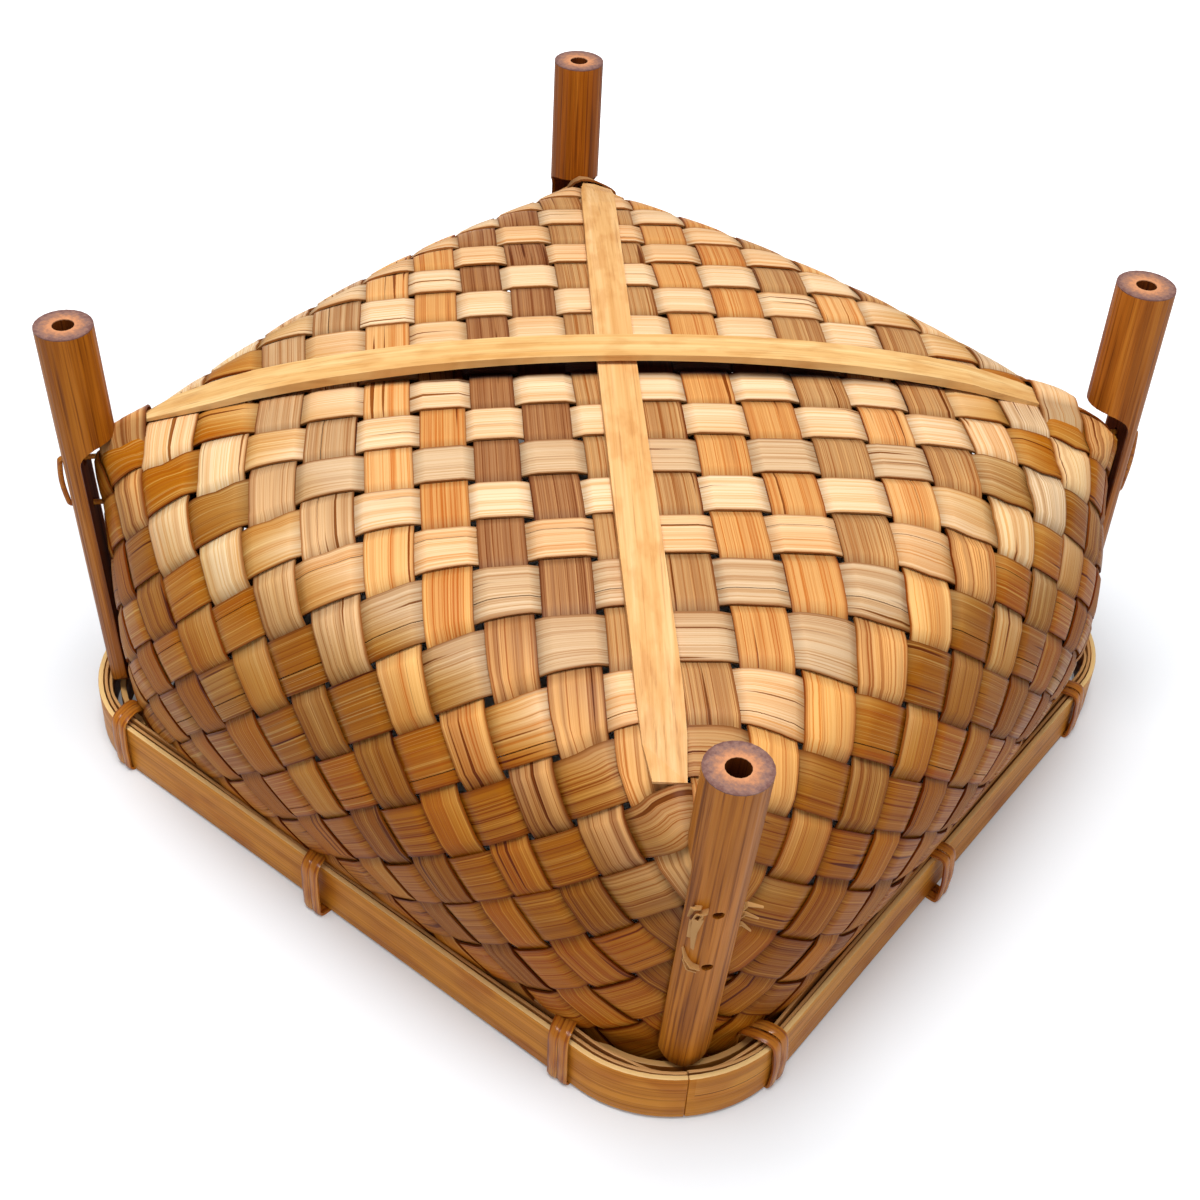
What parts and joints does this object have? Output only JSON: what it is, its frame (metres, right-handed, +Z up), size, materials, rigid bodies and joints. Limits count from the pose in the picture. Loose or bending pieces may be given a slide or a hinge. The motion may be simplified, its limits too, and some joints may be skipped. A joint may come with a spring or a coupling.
{
  "type": "square bamboo basket",
  "caption": "Square basket of plaited bamboo strips with a lashed hoop rim, crossed slats on its base and culm legs at its corners, standing upside down on its rim.",
  "frame": {"origin": "on the floor under the middle of the basket, which stands upside down on its rim", "axes": "+Z up; X and Y along the rim's sides; front corner at +X -Y, right at +X +Y, back at -X +Y, left at -X -Y"},
  "size_m": [0.3882, 0.3893, 0.2222],
  "materials": {
    "woven_bamboo": "split bamboo, smoked, plain weave",
    "hoop_bamboo": "bamboo skin, polished by handling",
    "splint_bamboo": "split bamboo",
    "cane": "glossy split cane",
    "culm_bamboo": "bamboo culm, satin",
    "slat_bamboo": "planed bamboo"
  },
  "bodies": {
    "root": {"woven_shell": "woven_bamboo", "outer_hoop": "hoop_bamboo", "inner_hoop": "hoop_bamboo", "rim_splint_outer": "splint_bamboo", "rim_splint_inner": "splint_bamboo", "slat_front_back": "slat_bamboo", "slat_left_right": "slat_bamboo", "lashing_left_front_1": "cane", "lashing_left_front_2": "cane", "lashing_left_front_3": "cane", "lashing_right_front_1": "cane", "lashing_right_front_2": "cane", "lashing_right_front_3": "cane", "lashing_right_back_1": "cane", "lashing_right_back_2": "cane", "lashing_right_back_3": "cane", "lashing_left_back_1": "cane", "lashing_left_back_2": "cane", "lashing_left_back_3": "cane", "leg_tie_front": "cane", "leg_tie_right": "cane", "leg_tie_back": "cane", "leg_tie_left": "cane", "leg_front": "culm_bamboo", "leg_right": "culm_bamboo", "leg_back": "culm_bamboo", "leg_left": "culm_bamboo"}
  },
  "joints": []
}
